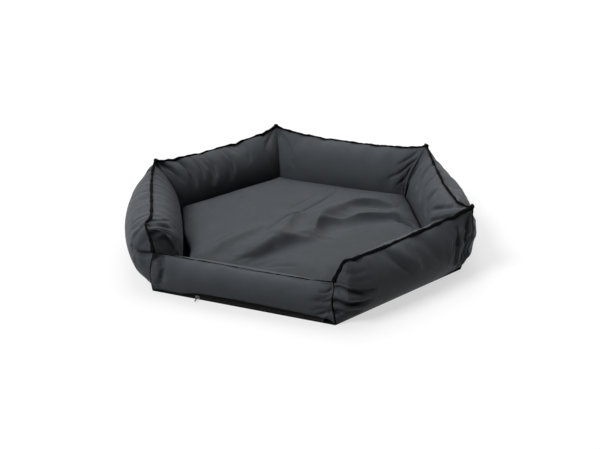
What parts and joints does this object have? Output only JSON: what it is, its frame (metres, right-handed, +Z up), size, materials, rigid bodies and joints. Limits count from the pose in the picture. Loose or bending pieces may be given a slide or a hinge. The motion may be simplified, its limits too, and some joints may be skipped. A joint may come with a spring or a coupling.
{
  "type": "dog sofa bed",
  "caption": "Low bed for a dog: a ring of stuffed cloth bolsters with a lowered entry side, a lift-out crowned cushion in the well and a zip along the front foot.",
  "frame": {"origin": "on the floor, under the middle of the whole bed", "axes": "+Z up; the low entry side with the zip faces -Y; +X is to the right of someone who looks along +Y from the entry"},
  "size_m": [0.996, 0.9205, 0.197],
  "materials": {
    "cover_cloth": "smooth waterproof oxford weave with a faint satin sheen, graphite grey",
    "base_cloth": "matt black non-slip coated cloth",
    "seam_cloth": "bound edge in black thread, much darker than the panels",
    "stuffing": "white hollow-fibre filling",
    "zip_tape": "black woven tape",
    "zip_coil": "black nylon coil",
    "zip_metal": "gunmetal zip slider finish"
  },
  "bodies": {
    "bed": {"right_front_outer_panel": "cover_cloth", "right_front_inner_panel": "cover_cloth", "right_front_stuffing": "stuffing", "right_front_top_seam": "seam_cloth", "right_back_outer_panel": "cover_cloth", "right_back_inner_panel": "cover_cloth", "right_back_stuffing": "stuffing", "right_back_top_seam": "seam_cloth", "back_outer_panel": "cover_cloth", "back_inner_panel": "cover_cloth", "back_stuffing": "stuffing", "back_top_seam": "seam_cloth", "left_back_outer_panel": "cover_cloth", "left_back_inner_panel": "cover_cloth", "left_back_stuffing": "stuffing", "left_back_top_seam": "seam_cloth", "left_front_outer_panel": "cover_cloth", "left_front_inner_panel": "cover_cloth", "left_front_stuffing": "stuffing", "left_front_top_seam": "seam_cloth", "front_outer_panel": "cover_cloth", "front_inner_panel": "cover_cloth", "front_stuffing": "stuffing", "front_top_seam": "seam_cloth", "front_right_corner_seam": "seam_cloth", "right_corner_seam": "seam_cloth", "back_right_corner_seam": "seam_cloth", "back_left_corner_seam": "seam_cloth", "left_corner_seam": "seam_cloth", "front_left_corner_seam": "seam_cloth", "base_panel": "base_cloth", "zip_upper_tape": "zip_tape", "zip_lower_tape": "zip_tape", "zip_placket": "zip_tape", "zip_upper_coil": "zip_coil", "zip_lower_coil": "zip_coil", "zip_end_stops": "zip_metal"},
    "mattress": {"mattress_bottom_panel": "base_cloth", "mattress_side_band": "cover_cloth", "mattress_top_panel": "cover_cloth", "mattress_filling": "stuffing"},
    "zip_slider": {"zip_slider": "zip_metal"},
    "zip_pull": {"zip_pull": "zip_metal"}
  },
  "joints": [
    {"name": "mattress_lift", "type": "slide", "parent": "bed", "child": "mattress", "axis": [0, 0, 1], "range_m": [0, 0.25]},
    {"name": "zip_slide", "type": "slide", "parent": "bed", "child": "zip_slider", "axis": [1, 0, 0], "range_m": [0, 0.338]},
    {"name": "pull_swing", "type": "hinge", "parent": "zip_slider", "child": "zip_pull", "pos_m": [-0.1221, -0.44234, 0.0066], "axis": [0, -0.1392, 0.9903], "range_deg": [-85, 85]}
  ]
}
